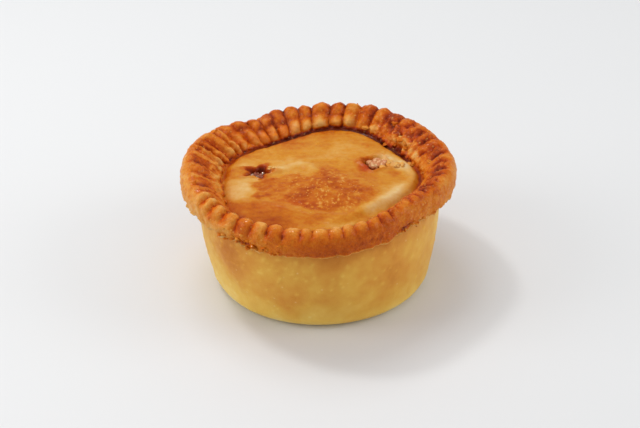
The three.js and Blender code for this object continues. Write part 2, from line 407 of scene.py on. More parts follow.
# The pinches wander where the pastry was worked hard, lean by the seam, and are fuller on one side
hand_worked = around(
    (-165, 1.0), (-125, 0.5), (-90, 0.2), (-60, 0.5), (-30, 1.0), (20, 1.0), (60, 0.5), (90, 0.35),
    (130, 0.6), (160, 1.0),
)
wander = 0.05 * cloud(rim, 5, 2, 27.0) + 0.12 * hand_worked * cloud(rim, 2.8, 2, 29.0)
lean = around((-90, 0.0), (-140, 0.35), (180, 0.1), (90, 0.0), (45, -0.2), (15, -0.5), (-30, -0.2))
within = np.mod(places + wander + lean * (travel - 1) * smooth(1.0, 1.2, travel), 1)
skew = around((-90, 1.0), (-140, 1.6), (180, 1.4), (90, 1.0), (20, 0.8), (-60, 1.0))
roundness = around(
    (-165, 1.0), (-140, 0.58), (-115, 0.46), (-85, 0.42), (-60, 0.5), (0, 0.9), (60, 0.55), (90, 0.46),
    (120, 0.5), (150, 1.0), (180, 1.3),
)
full = np.abs(np.sin(np.pi * within**skew)) ** roundness

# At the left the hand took bigger pinches, each as wide as two
BIG_PINCH_ROUNDNESS = 0.6
big_pinch = around((90, 0.0), (158, 0.0), (170, 1.0), (-168, 1.0), (-152, 0.0))
across_two = (places + 2 * wander) / 2 % 1
full = full + big_pinch * (np.abs(np.sin(np.pi * across_two)) ** BIG_PINCH_ROUNDNESS - full)

# How deep the nicks are, and where they start and end on the way from the lip to the seam
depth = around(
    (-165, 1.7), (-138, 1.9), (-115, 1.6), (-95, 1.25), (-75, 1.1), (-58, 0.7), (-40, 0.35), (-22, 0.9),
    (0, 1.3), (25, 1.5), (45, 1.4), (65, 1.8), (95, 1.9), (115, 1.8), (135, 1.4), (160, 1.4), (178, 1.2),
)
start = pinch_start + around(
    (-165, 0.8), (-140, 0.38), (-115, 0.42), (-90, 0.58), (-62, 0.62), (-45, 0.8), (0, 0.95), (40, 0.75),
    (60, 0.55), (105, 0.5), (130, 0.7), (160, 1.0), (180, 1.02),
)
finish = pinch_end + around(
    (-150, 1.5), (-90, 1.35), (-40, 1.45), (0, 1.6), (40, 1.75), (70, 1.9), (120, 1.9), (164, 1.86),
    (182, 1.5),
)
open_nick = between(travel, start - 0.2, start + 0.15, finish - 0.1, finish + 0.12)
nick = (1 - full) * open_nick
rim_relief = pinch_height * full * open_nick - depth * nick

# Round the back the fingers pressed twice, so each round ends in a bulb beside the seam
BULB_AT, BULB_REACH, BULB_HEIGHT = 1.68, 0.15, 0.75
CROSS_NICK_AT, CROSS_NICK_REACH, CROSS_NICK_DEPTH = 1.46, 0.08, 0.9
bulbs_at = around(
    (30, 0.0), (55, 0.6), (75, 1.0), (105, 1.0), (135, 0.8), (160, 0.35), (185, 0.0), (-90, 0.0)
)
crossed_at = bulbs_at * around(
    (30, 0.3), (80, 0.35), (105, 0.8), (130, 1.0), (150, 0.5), (180, 0.2)
)
bulb = bulbs_at * full * near(travel, BULB_AT + pinch_end / 2, BULB_REACH)
cross_nick = crossed_at * full * near(travel, CROSS_NICK_AT + 1.5 * pinch_end, CROSS_NICK_REACH)
rim_relief += BULB_HEIGHT * bulb - CROSS_NICK_DEPTH * cross_nick

# A fold of pastry lies over the crimps at the back left. At the back right the pastry is torn.
FOLD_HEIGHT = 0.8
TORN_DEPTH = 1.5
fold = towards(ANGLE, 117, 3.0) * between(travel, 0.7, 1.0, 1.3, 1.5)
torn = towards(ANGLE, 41, 17) * between(travel, 1.0, 1.3, 1.95, 2.0)
torn_lumps = cloud(rim, 2.8, 3, 31.0)
rim_relief = rim_relief * (1 - 0.8 * fold) + FOLD_HEIGHT * fold
rim_relief = rim_relief * (1 - 0.5 * torn) + TORN_DEPTH * torn * torn_lumps

# Lumps, from 9 mm down to 1 mm across, more of them where the pastry was handled more
rough = around(
    (-150, 0.24), (-110, 0.16), (-80, 0.14), (-40, 0.3), (0, 0.22), (40, 0.26), (100, 0.18), (150, 0.24),
    (185, 0.36),
)
rim_relief += 0.45 * cloud(rim, 9, 2, 1.0)
rim_relief += 1.3 * rough * cloud(rim, 2.6, 3, 5.0)
rim_relief += (0.05 + 0.45 * rough) * cloud(rim, 1.1, 2, 7.0)

# Fine wrinkles over the crest, and a lumpy ledge where the rim meets the lid
WRINKLE_WIDTH, WRINKLE_DEPTH = 0.11, 0.28
LEDGE_LUMPS = 0.75
wrinkled_at = around(
    (-165, 0.9), (-135, 0.4), (-90, 0.2), (-45, 1.0), (-10, 0.9), (45, 1.0), (80, 0.5), (120, 0.9),
    (170, 0.9),
)
wrinkle = near(cloud(rim, 3.4, 2, 77.0), 0, WRINKLE_WIDTH) * smooth(-0.2, 0.3, cloud(rim, 7, 2, 78.0))
wrinkle = wrinkle * wrinkled_at * smooth(0.6, 1.0, travel)
ledge = between(travel, 1.62, 1.8, 1.97, 2.0) * around(
    (-165, 1.6), (-150, 1.0), (-90, 0.5), (-30, 1.0), (40, 1.0), (75, 0.2), (130, 0.2), (160, 0.8),
)
rim_relief -= WRINKLE_DEPTH * wrinkle
rim_relief += LEDGE_LUMPS * ledge * cloud(rim, 2.8, 3, 43.0)

# The lip is crumbly, most of all at the front left, and small cracks run in the face above it
CRACK_WIDTH, CRACK_DEPTH = 0.025, 0.4
crumbly = around(
    (-150, 1.2), (-118, 1.5), (-98, 0.35), (-60, 0.6), (-38, 1.2), (0, 0.4), (90, 0.5), (180, 0.6),
)
cracked_at = around(
    (-160, 0.3), (-135, 1.0), (-112, 0.8), (-90, 0.05), (-60, 0.4), (-38, 1.0), (-10, 0.2), (90, 0.4),
)
at_lip = near(travel, 0, 0.12)
crack = near(cloud(rim, 7, 3, 53.0), 0, CRACK_WIDTH) * smooth(0, 0.3, cloud(rim, 11, 2, 57.0))
crack = crack * cracked_at * between(travel, 0.0, 0.06, 0.4, 0.7)
rim_relief += crumbly * at_lip * cloud(rim, 2.2, 3, 41.0)
rim_relief += 0.7 * towards(ANGLE, -130, 18) * near(travel, 0, 0.4) * cloud(rim, 2.6, 3, 42.0)
rim_relief -= CRACK_DEPTH * crack

# Under the lip the pastry has come away from the case in two places: (direction, half width, depth)
LIP_GAPS = ((-124, 6, 1.0), (-47, 3.5, 1.3))
gap = np.zeros_like(rim_relief)
for direction, half_width, how_deep in LIP_GAPS:
    slit = towards(ANGLE, direction, half_width) * near(travel, 0.1, 0.07)
    rim_relief -= how_deep * slit
    gap = gap + slit
rim_skin = rim + rim_out * rim_relief[..., None]
rim_skin[..., 2] += 0.6 * crumbly * at_lip * cloud(rim, 3.4, 2, 61.0)

# How far the rim is baked, as rows of (travel, (direction, tone) stops) from the lip to the seam. Low on
# the front face, where it turns under, the dark is partly painted shade.
TONES = (
    (0.12, (
        (-165, 0.34), (-140, 0.36), (-118, 0.52), (-90, 0.7), (-60, 0.7), (-35, 0.58), (0, 0.42),
        (90, 0.55), (180, 0.36),
    )),
    (0.5, (
        (-165, 0.4), (-138, 0.5), (-118, 0.56), (-90, 0.64), (-60, 0.64), (-35, 0.56), (0, 0.46),
        (40, 0.54), (90, 0.54), (140, 0.5), (180, 0.4),
    )),
    (1.0, (
        (-165, 0.52), (-135, 0.5), (-90, 0.44), (-60, 0.52), (-30, 0.62), (0, 0.56), (40, 0.62),
        (70, 0.54), (115, 0.6), (145, 0.54), (180, 0.54),
    )),
    (1.4, (
        (-140, 0.64), (-90, 0.56), (-45, 0.64), (0, 0.66), (40, 0.7), (75, 0.54), (115, 0.54),
        (150, 0.54), (180, 0.6),
    )),
    (1.7, (
        (-150, 0.6), (-45, 0.62), (0, 0.56), (30, 0.56), (60, 0.42), (85, 0.3), (105, 0.4),
        (125, 0.42), (150, 0.36), (180, 0.46),
    )),
    (1.9, (
        (-150, 0.52), (-110, 0.62), (-45, 0.66), (0, 0.6), (30, 0.6), (60, 0.56), (85, 0.5),
        (105, 0.5), (125, 0.55), (150, 0.5), (180, 0.56),
    )),
)
tones = [(far, around(*stops)) for far, stops in TONES]
rim_bake_and_light = tones[0][1] + 0 * travel
for (low, before), (high, after) in zip(tones, tones[1:]):
    rim_bake_and_light = np.where(travel > low, before + (after - before) * smooth(low, high, travel), rim_bake_and_light)

# The nicks are darker than the pinches, partly egg baked dark in them and partly painted shade, and one
# side of each pinch is painted darker as shade
nick_tone = around(
    (-160, 0.2), (-140, 0.12), (-110, 0.16), (-90, 0.2), (-60, 0.18), (-40, 0.14), (0, 0.18),
    (35, 0.16), (60, 0.22), (100, 0.26), (135, 0.14), (160, 0.2), (180, 0.14),
)
shaded_side = around(
    (-165, 0.34), (-138, 0.4), (-112, 0.3), (-85, 0.14), (-50, 0.2), (0, 0.2), (60, 0.1), (120, 0.1),
    (160, 0.26),
)
rim_bake_and_light += nick_tone * (nick / 0.8).clip(0, 1)
rim_bake_and_light += 0.09 * pinch_bake * open_nick
rim_bake_and_light += 0.34 * shaded_side * (0.42 - within) * open_nick

# Crests at the front left are painted paler as a highlight where light catches them, and bits of the inner
# face at the right and at the left stay pale
lit_crest = near(travel, 1.02 + 0.12 * within, 0.14) * around(
    (-165, 0.4), (-140, 1.0), (-110, 0.8), (-85, 0.5), (-60, 0.4), (-40, 0.0), (180, 0.0)
)
pale_bits = smooth(0.0, 0.35, cloud(rim, 2.6, 2, 79.0)) * smooth(1.3, 1.55, travel)
rim_bake_and_light -= 0.2 * lit_crest * full
rim_bake_and_light -= 0.26 * pale_bits * (towards(ANGLE, 26, 16) + 0.7 * towards(ANGLE, 172, 22))

# Cloudy browning all over
uneven = around(
    (-150, 1.0), (-115, 0.7), (-90, 0.35), (-60, 0.6), (-35, 1.1), (0, 0.7), (40, 1.0), (120, 0.9)
)
rim_bake_and_light += uneven * (0.12 * cloud(rim, 6, 3, 71.0) + 0.08 * cloud(rim, 1.8, 3, 73.0))

# Marks, with how much darker each one is, or paler if below 0. The dark in the lip gaps, cross nicks,
# cracks and wrinkles is painted shade in them, and the dark where the wash pooled by the seam is partly
# baked wash and partly painted shade.
lip_edge = near(travel, 0, 0.03) * around((-120, 0.7), (-90, 0.9), (-60, 0.9), (0, 0.4), (180, 0.4))
pooled_wash_and_shade = smooth(1.76, 1.9, travel) * around(
    (-90, 0.2), (0, 0.3), (45, 0.9), (110, 1.0), (145, 0.5), (180, 0.2)
)
egged_bulb = bulb * pinch_egg * towards(ANGLE, 124, 18)
RIM_MARKS = (
    (0.3, gap), (0.26, cross_nick), (-0.3, egged_bulb), (0.25, crack), (0.16, wrinkle), (0.15, fold),
    (-0.32, torn * torn_lumps), (-0.5, lip_edge), (0.45, pooled_wash_and_shade),
)
for darker, mark in RIM_MARKS:
    rim_bake_and_light += darker * mark

# Egg wash baked to amber: on the bulbs at the back left, in the nicks and where it pooled. The amber on the
# shaded side of each pinch is painted shade.
ran_off = smooth(1.05, 1.3, travel) * towards(ANGLE, -125, 40)
rim_amber_and_shade = 1.15 * bulb * pinch_egg * towards(ANGLE, 124, 20)
rim_amber_and_shade += 2.0 * shaded_side * (0.6 - within).clip(0, 1) * open_nick * (1 - ran_off)
rim_amber_and_shade = np.clip(rim_amber_and_shade + 0.35 * nick + 0.5 * pooled_wash_and_shade + 0.3 * torn, 0, 1)
rim_glaze = around((-150, 0.5), (-90, 0.8), (-40, 0.5), (0, 0.5), (60, 0.9), (110, 1.0), (170, 0.5))
rim_glaze = rim_glaze * smooth(-0.1, 0.5, travel)
rim_glaze = rim_glaze + 0.3 * smooth(1.3, 1.6, travel) - 0.6 * smooth(1.9, 2.0, travel)
rim_specks = around(
    (-150, 0.7), (-125, 1.0), (-100, 0.15), (-60, 0.2), (-40, 1.0), (0, 0.8), (40, 1.2), (80, 0.5),
    (150, 0.8),
)
rim_specks = rim_specks + 0.7 * torn + 0.4 * at_lip

# The values at each point of the crust that its materials read
# The first carries browning together with painted light and shade
LOOKS = ("bake_and_light", "amber_and_shade", "glaze", "specks")


def egg_washed(name, browns, egg, flour, look, brushed=False):
    """Pastry under baked egg wash: orange-brown, glossy where the wash is thick, satin where thin.

    LOOKS say where it is dark, stained with egg, glossy, and flecked with dry flour. The sizes in
    look are in millimetres.
    """
    material, tree = empty_material(name)
    place = add(tree, "TexCoord").outputs["Object"]
    baked, amber_and_shade, glaze, specks = (
        add(tree, "Attribute", attribute_name=value).outputs["Fac"] for value in LOOKS
    )

    # Browning in blotches, and within them in fine grain or in the streaks of the brush
    mottle = add(
        tree,
        "TexNoise",
        {"Vector": place, "Scale": 1 / (look["blotch"] * MM), "Detail": 6.0, "Roughness": 0.6},
    )
    grain = add(tree, "TexNoise", {"Vector": place, "Scale": 1 / (0.4 * MM), "Detail": 3.0})
    fine = grain
    if brushed:
        drawn_out = add(
            tree,
            "Mapping",
            {"Vector": place, "Rotation": (0, 0, math.radians(12)), "Scale": (0.25, 1.0, 1.0)},
        )
        fine = add(
            tree,
            "TexNoise",
            {"Vector": drawn_out.outputs["Vector"], "Scale": 1 / (1.8 * MM), "Detail": 4.0},
        )
    browned = browning(tree, baked, browns, (fine, 0.16), (mottle, look["blotch_share"]))
    stained = add(
        tree,
        "Mix",
        {"Factor": amber_and_shade, "A": browned, "B": linear(egg)},
        data_type="RGBA",
        blend_type="MULTIPLY",
    )

    # Flecks of dry flour, gathered where the blotches are dark
    fleck = flecks_of(tree, place, look["fleck_spacing"], look["fleck_edge"], look["fleck_strength"])
    gathered = add(tree, "MapRange", {"Value": mottle.outputs["Fac"], "From Min": 0.44, "From Max": 0.58})
    here_and_there = add(tree, "Math", {0: gathered.outputs["Result"], 1: specks}, operation="MULTIPLY")
    floury = add(
        tree,
        "Math",
        {0: fleck, 1: here_and_there.outputs[0]},
        operation="MULTIPLY",
        use_clamp=True,
    )
    flecked = add(
        tree,
        "Mix",
        {"Factor": floury.outputs[0], "A": stained.outputs["Result"], "B": linear(flour)},
        data_type="RGBA",
    )

    # Fine pores, dimples of the blotches' size, and a gloss that follows the wash
    pits = pitted(
        tree, (grain, look["pores"], 0.2), (mottle, look["dimples"], look["dimple_depth"])
    )
    dry, wet = look["roughness"]
    gloss = add(tree, "MapRange", {"Value": glaze, "To Min": dry, "To Max": wet})
    pastry = add(
        tree,
        "BsdfPrincipled",
        {
            "Base Color": flecked.outputs["Result"],
            "Roughness": gloss.outputs["Result"],
            "Normal": pits,
            "IOR": 1.45,
            "Specular IOR Level": 0.08,
            "Subsurface Weight": 0.05,
            "Subsurface Radius": look["glow"],
            "Subsurface Scale": 1.5 * MM,
            "Coat Weight": look["coat"],
            "Coat Roughness": look["coat_roughness"],
        },
    )
    add(tree, "OutputMaterial", {"Surface": pastry.outputs["BSDF"]})
    return material


# The rim's wash went on thick and uneven over rough pastry, so it is blotched, pitted and glinting
washed_rim = egg_washed(
    "egg-washed crust of the rim",
    browns=(
        (0.0, "#eecc84"), (0.2, "#e4b062"), (0.38, "#dc943e"), (0.52, "#d27618"), (0.66, "#c05802"),
        (0.8, "#9a3a00"), (1.0, "#5e1c00"),
    ),
    egg="#f6ac40",
    flour="#eeb860",
    look={
        "blotch": 1.6,
        "blotch_share": 0.3,
        "fleck_spacing": 1.5,
        "fleck_edge": (0.12, 0.3),
        "fleck_strength": 0.5,
        "pores": 0.6,
        "dimples": 0.8,
        "dimple_depth": 0.7,
        "roughness": (0.55, 0.26),
        "glow": (1.0, 0.4, 0.15),
        "coat": 0.15,
        "coat_roughness": 0.08,
    },
)

# ----------------------------------------
# The lid. A rolled round of the same pastry, laid on the filling, sunk below the rim and brushed
# with egg. It has puffed into a low plateau with a blistered brown patch in the middle, and steam
# and jelly have broken through it at two vents, left and right.
# ----------------------------------------

LID_EDGE = 38.1
LID_DOME = 1.0
EDGE_ROUND = 2.4
LID_RINGS = 66
GROOVE_RINGS = (0.6, 0.2)

# A shallow groove along the seam, then rings that shrink to the middle of the lid
groove = np.array(GROOVE_RINGS)[:, None]
groove_radius = seam_radius + SEAM_HALF_WIDTH * groove
groove_height = SEAM_HEIGHT + SEAM_STEP * groove + around(
    (-90, 0.3), (0, 0.3), (60, 0.0), (130, 0.0), (180, 0.4)
)
across = (1 - np.arange(LID_RINGS) / LID_RINGS)[:, None]
lid_reach = seam_radius - 0.1 * SEAM_HALF_WIDTH
from_edge = (1 - across) * lid_reach
lid_radius = across * lid_reach
edge_drop = around((-150, 0.8), (-90, 1.2), (0, 1.3), (60, 1.5), (130, 1.4), (165, 0.9), (185, 0.7))
rounded_edge = edge_drop * (1 - smooth(0, 1, from_edge / EDGE_ROUND)) ** 1.5
lid_height = LID_EDGE + LID_DOME * (1 - (lid_radius / SEAM_RADIUS) ** 2) - rounded_edge
lid = ring_points(
    np.concatenate([groove_radius, lid_radius]), np.concatenate([groove_height + 0 * ANGLE, lid_height])
)
lid_x, lid_y = lid[..., 0], lid[..., 1]
lid_angle = np.arctan2(lid_y, lid_x)
from_edge = np.concatenate([0 * groove + 0 * ANGLE, from_edge])
on_lid = smooth(0.0, 1.5, from_edge)


def spot(x, y, reach_x, reach_y=None):
    """A soft oval spot on the lid."""
    return np.exp(-(((lid_x - x) / reach_x) ** 2) - ((lid_y - y) / (reach_y or reach_x)) ** 2)


def from_piece(start, end):
    """How far each place on the lid lies from a straight piece, and how far to the left of it."""
    length = math.dist(start, end)
    run_x, run_y = (end[0] - start[0]) / length, (end[1] - start[1]) / length
    out_x, out_y = lid_x - start[0], lid_y - start[1]
    along = np.clip(out_x * run_x + out_y * run_y, 0, length)
    distance = np.hypot(out_x - along * run_x, out_y - along * run_y)
    return distance, out_y * run_x - out_x * run_y


def line(points, reach):
    """A soft line along points on the lid, and how far each place lies past it, on its left."""
    nearest = np.full(lid_x.shape, np.inf)
    beyond = np.zeros(lid_x.shape)
    for start, end in zip(points, points[1:]):
        distance, left = from_piece(start, end)
        beyond = np.where(distance < nearest, left, beyond)
        nearest = np.minimum(nearest, distance)
    return near(nearest, 0, reach), beyond


def depth_inside(outline):
    """How far inside a closed outline on the lid each place lies, and below 0 outside it."""
    inside = np.zeros(lid_x.shape, dtype=bool)
    nearest = np.full(lid_x.shape, np.inf)
    for start, end in zip(outline, outline[1:] + outline[:1]):
        nearest = np.minimum(nearest, from_piece(start, end)[0])
        crossed = (lid_y < start[1]) != (lid_y < end[1])
        slant = (end[0] - start[0]) / (end[1] - start[1] or 1)
        inside ^= crossed & (lid_x < start[0] + (lid_y - start[1]) * slant)
    return np.where(inside, nearest, -nearest)


# The blistered patch in the middle, sharp-edged and golden at its left, soft and brown at its right
PATCH = [
    (-24, -1.5), (-14, 2), (-4, 2), (0, 6), (5, 7), (10, 1.5), (16, -4), (22, -10), (20, -17), (10, -22.5),
    (0, -22), (-10, -17), (-18, -13), (-24, -12),
]
patch_depth = depth_inside(PATCH) + 2.2 * cloud(lid, 5, 3, 83.0)
patch = smooth(-0.8, 1.2 + 3.2 * smooth(-12, 12, lid_x), patch_depth)

# Ridges, sags and folds, all along lines on the lid
ridge, _ = line(((-17, 5.5), (-11, 7.5), (-7, 9.5), (-3.5, 8.5), (-2, 5.5)), 1.7)
valley, _ = line(((-14, 3.5), (-8, 5), (-5, 5)), 1.3)
back_flap, _ = line(((9, 13), (1, 13.5), (-5, 12), (-14, 11.5), (-22, 13)), 1.3)
back_swell, _ = line(((-18, 17), (-6, 20), (8, 25)), 3.2)
sheen_streak, _ = line(((17, -20), (23.5, -13.5), (28.5, -6)), 2.3)
turn_line, past_turn = line(((35, 4), (32.5, -3), (24, -13), (10, -24), (3, -27)), 2.0)
turned_down = smooth(-0.5, 4.0, past_turn) * towards(lid_angle, -38, 32)
front_edge, before_patch = line(((-27, -12), (-20, -15), (-11, -18), (-2, -22.5), (8, -24.5)), 0.9)

# Each feature with how far it rises, or sinks if below 0
LID_FEATURES = (
    (0.5, ridge), (-0.35, valley), (0.3, back_flap), (0.3, back_swell), (0.3, turn_line),
    (-1.3, turned_down), (0.25, front_edge), (0.35, spot(-27, -7, 6, 7)), (0.4, spot(3, -6, 17, 9)),
)
lid_relief = 0.4 * cloud(lid, 15, 2, 4.0) + 0.1 * cloud(lid, 3.4, 3, 6.0)
for rise, feature in LID_FEATURES:
    lid_relief += rise * feature
lid_relief += patch * (0.1 + 0.2 * cloud(lid, 1.9, 3, 91.0) + 0.12 * np.abs(cloud(lid, 4.0, 2, 93.0)))

# Small folds along the front, where the lid was pushed against the rim
FOLD_SPACING = 1.8
folds = towards(lid_angle, -80, 22) * between(from_edge, 0.8, 1.8, 5, 7.5)
fold_phase = 2 * math.pi * (from_edge + 0.8 * cloud(lid, 9, 2, 95.0)) / FOLD_SPACING
lid_relief += 0.12 * folds * np.cos(fold_phase)


def vent(x, y, half_length, half_width, turned, points, ragged):
    """How far out of a torn vent each place lies: under 1 in the hole, 1 at its edge."""
    angle = math.radians(turned)
    along = (lid_x - x) * math.cos(angle) + (lid_y - y) * math.sin(angle)
    aside = (lid_y - y) * math.cos(angle) - (lid_x - x) * math.sin(angle)
    around_vent = np.arctan2(aside / half_width, along / half_length)
    star = 1 + ragged * np.cos(points * around_vent + 0.7)
    return np.hypot(along / half_length, aside / half_width) / star + 0.16 * cloud(lid, 1.6, 2, 111.0)


# Two torn vents with raised lips. Beside the right one the pastry has crumbled as far as the rim.
LEFT_VENT = (-22.1, 5.0)
RIGHT_VENT = (20.7, 9.8)
LEFT_VENT_DEPTH, LEFT_VENT_LIP = 2.5, 0.55
RIGHT_VENT_DEPTH, RIGHT_VENT_LIP = 2.2, 0.65
left_vent = vent(*LEFT_VENT, half_length=4.3, half_width=3.2, turned=4, points=5, ragged=0.26)
right_vent = vent(*RIGHT_VENT, half_length=4.5, half_width=4.0, turned=-6, points=4, ragged=0.16)
lid_relief -= LEFT_VENT_DEPTH * (1 - smooth(0.45, 1.1, left_vent))
lid_relief -= RIGHT_VENT_DEPTH * (1 - smooth(0.6, 1.05, right_vent))
lid_relief += LEFT_VENT_LIP * near(left_vent, 1.3, 0.22)
lid_relief += RIGHT_VENT_LIP * near(right_vent, 1.22, 0.2)
crumbled = spot(27.5, 9.5, 5, 3.2) + spot(24, 14, 4, 2.5) + spot(31.5, 8, 3, 6)
lid_relief += crumbled * (0.25 + 0.45 * cloud(lid, 2.4, 2, 97.0)) * smooth(0.5, 3.0, from_edge)

lid_skin = lid.copy()
lid_skin[..., 2] += lid_relief * on_lid

# How far the lid is baked: cloudy golden, browner in the patch, with pale blisters in it
lid_bake_and_light = 0.54 + 0.11 * cloud(lid, 11, 3, 101.0) + 0.05 * cloud(lid, 2.4, 3, 103.0)
browned = 0.12 - 0.02 * smooth(-14, 4, lid_x) + 0.03 * smooth(-16, 8, lid_x - lid_y)
lid_bake_and_light += patch * (browned + 0.12 * cloud(lid, 3.6, 3, 105.0))
speckled = patch * smooth(-14, -6, lid_x) * (1 - 0.7 * smooth(8, 16, lid_x)) + 0.35 * patch
lid_bake_and_light -= 0.2 * speckled * smooth(0.3, 0.55, cloud(lid, 1.2, 2, 107.0))

# A pale swell at the left and a paler rise behind the patch, both painted sheen, tan streaks in front of
# the patch, and a darker back and vents
sheen_swell = smooth(0.15, 0.6, spot(-29, -5, 6, 8.5) + 0.3 * cloud(lid, 5, 2, 108.0)) * (1 - patch)
before_it = smooth(0.0, 2.0, -before_patch) * towards(lid_angle, -118, 26)
sheen_behind_patch = (1 - patch) * spot(8, 18, 14, 8)
back_left = towards(lid_angle, 118, 30) * np.exp(-from_edge / 6)
egg_pool = smooth(0.3, 0.7, spot(16.2, 6.6, 3.0, 2.8))
# The holes of the vents are darker, partly scorched pastry and partly painted shade in the pits
left_hole = 1 - smooth(0.7, 1.3, left_vent)
right_hole = 1 - smooth(0.9, 1.5, right_vent)
scorched_flap = (1 - smooth(1.0, 1.9, left_vent)) * smooth(4.0, 7.0, lid_y)
scorched_ring = near(right_vent, 1.0, 0.14) * (1 - smooth(18.0, 22.0, lid_x))
# The ridge, the streak, the turn and its slope are paler: painted highlights where the glaze catches the
# light
LID_MARKS = (
    (-0.22, sheen_swell), (0.1, before_it), (-0.06, sheen_behind_patch), (0.12, back_left), (0.12, egg_pool),
    (0.26, left_hole), (0.1, right_hole), (0.22, scorched_flap), (0.16, scorched_ring),
    (-0.15, ridge), (-0.05, back_flap), (-0.24, sheen_streak), (-0.08, turn_line), (-0.04, turned_down),
    (-0.1, folds), (-0.3, crumbled),
)
for darker, mark in LID_MARKS:
    lid_bake_and_light += darker * mark

# Soft spots, as (x, y, reach along x, reach along y, how much darker)
LID_SPOTS = (
    (-27, 9, 5, 4, -0.14), (-16, 7, 3, 1.8, -0.16), (-12, 9.5, 7, 2.2, -0.12), (-14, -28, 12, 4, 0.04),
    (4, -23, 17, 5, 0.09), (-7, -11, 6, 3.5, 0.09), (-22, 0, 4, 3, 0.1), (-16, -5, 7, 4, 0.06),
    (28, 4, 2.6, 2, 0.14), (-31, 7, 3, 2, 0.1),
)
for x, y, reach_x, reach_y, darker in LID_SPOTS:
    lid_bake_and_light += darker * spot(x, y, reach_x, reach_y)

# Wash that ran down to the seam and baked dark there, partly painted shade in that band, and a thin line of
# painted shade in the groove along the seam
SEAM_LINE = 0.5
seam_reach = around((-150, 2.6), (-90, 2.0), (0, 1.2), (60, 1.2), (95, 1.8), (130, 1.2), (170, 2.4))
near_seam = np.exp(-from_edge / seam_reach)
seam_tone = around(
    (-165, 0.14), (-140, 0.18), (-90, 0.18), (-45, 0.2), (0, 0.14), (45, 0.3), (100, 0.42), (145, 0.16),
    (175, 0.12),
)
seam_groove_shade = around(
    (-150, 0.0), (-120, 0.1), (-60, 0.22), (30, 0.26), (90, 0.24), (140, 0.14), (165, 0.0)
)
lid_bake_and_light += seam_tone * near_seam * (1 + 0.6 * cloud(lid, 4, 2, 113.0))
lid_bake_and_light += seam_groove_shade * near(from_edge, 0, SEAM_LINE)

lid_amber = 0.5 * near_seam + 0.8 * spot(16.2, 6.6, 3.0, 3.0) + 0.5 * spot(-14, -17, 12, 3) + 0.3 * patch
lid_amber += 0.7 * (1 - smooth(0.9, 1.8, left_vent)) + 0.4 * near(right_vent, 1.3, 0.3)
lid_glaze = 0.9 + 0.2 * cloud(lid, 8, 2, 109.0) - 0.3 * patch - 0.7 * (1 - smooth(0.0, 1.2, from_edge))
lid_specks = 0.12 + 0.9 * speckled + 0.5 * crumbled

# The lid's wash was brushed on in one direction over smooth pastry, so it is streaky and satin
washed_lid = egg_washed(
    "egg-washed crust of the lid",
    # The palest browns are whitish, so the painted sheen on the lid looks like reflected light
    browns=(
        (0.0, "#e2cc9c"), (0.2, "#d8b274"), (0.38, "#d09a4a"), (0.52, "#c88424"), (0.66, "#ba6408"),
        (0.8, "#9c4000"), (1.0, "#5e2000"),
    ),
    egg="#f0a848",
    flour="#f0bc62",
    look={
        "blotch": 1.3,
        "blotch_share": 0.24,
        "fleck_spacing": 1.3,
        "fleck_edge": (0.1, 0.28),
        "fleck_strength": 0.6,
        "pores": 0.3,
        "dimples": 0.3,
        "dimple_depth": 0.5,
        "roughness": (0.5, 0.24),
        "glow": (1.0, 0.45, 0.2),
        "coat": 0.11,
        "coat_roughness": 0.1,
    },
    brushed=True,
)

# ----------------------------------------
# The crust as one skin. Baking fuses case, rim and lid, so they are one closed mesh from the foot
# up over the rim and in across the lid, with finer columns on the rim than on the case and lid.
# ----------------------------------------

rows = np.concatenate([case_skin, rim_skin, lid_skin])
ROW_PART = ["case"] * len(case_skin) + ["rim"] * len(rim_skin) + ["lid"] * len(lid_skin)
case_looks = [case_bake_and_light] + 3 * [0 * case_bake_and_light]
rim_looks = np.broadcast_arrays(rim_bake_and_light, rim_amber_and_shade, rim_glaze, rim_specks)
lid_looks = [lid_bake_and_light, lid_amber, lid_glaze, lid_specks]
row_looks = np.concatenate([np.stack(looks, axis=-1) for looks in (case_looks, rim_looks, lid_looks)])

# The pie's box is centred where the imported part's box is
crust_low = rows.reshape(-1, 3).min(axis=0)
crust_high = rows.reshape(-1, 3).max(axis=0)
frame_centre = (np.array(cad_box[0]) + np.array(cad_box[1])) / 2 / MM
SHIFT = (frame_centre - (crust_low + crust_high) / 2) * (1, 1, 0)

# The lid's rows have fewer points as they shrink, as (beyond this radius, columns apart)
LID_COLUMNS_APART = ((19, 2), (8, 4), (4, 8), (0, 16))


def columns_apart(row):
    """Every how many columns a row has a point: wide apart where the pie is smooth or narrow."""
    part = ROW_PART[row]
    if part == "rim":
        return 1 if row >= len(case_skin) + UNDER_RINGS - 1 else 2
    if part == "case":
        return 8 if row < len(FOOT_RINGS) else 2
    reach = lid_radius[max(row - len(case_skin) - len(rim_skin) - len(groove), 0)].mean()
    return next(apart for beyond, apart in LID_COLUMNS_APART if reach > beyond)


def smooth_mesh(name, points, faces, looks):
    """A smooth mesh from points in millimetres, with a value at each point for each of its looks."""
    mesh = bpy.data.meshes.new(name)
    mesh.from_pydata(((np.array(points) + SHIFT) * MM).tolist(), [], faces)
    mesh.polygons.foreach_set("use_smooth", [True] * len(mesh.polygons))
    for look, values in looks.items():
        values = np.array(values, dtype=np.float32)
        mesh.attributes.new(look, "FLOAT", "POINT").data.foreach_set("value", values)
    return mesh


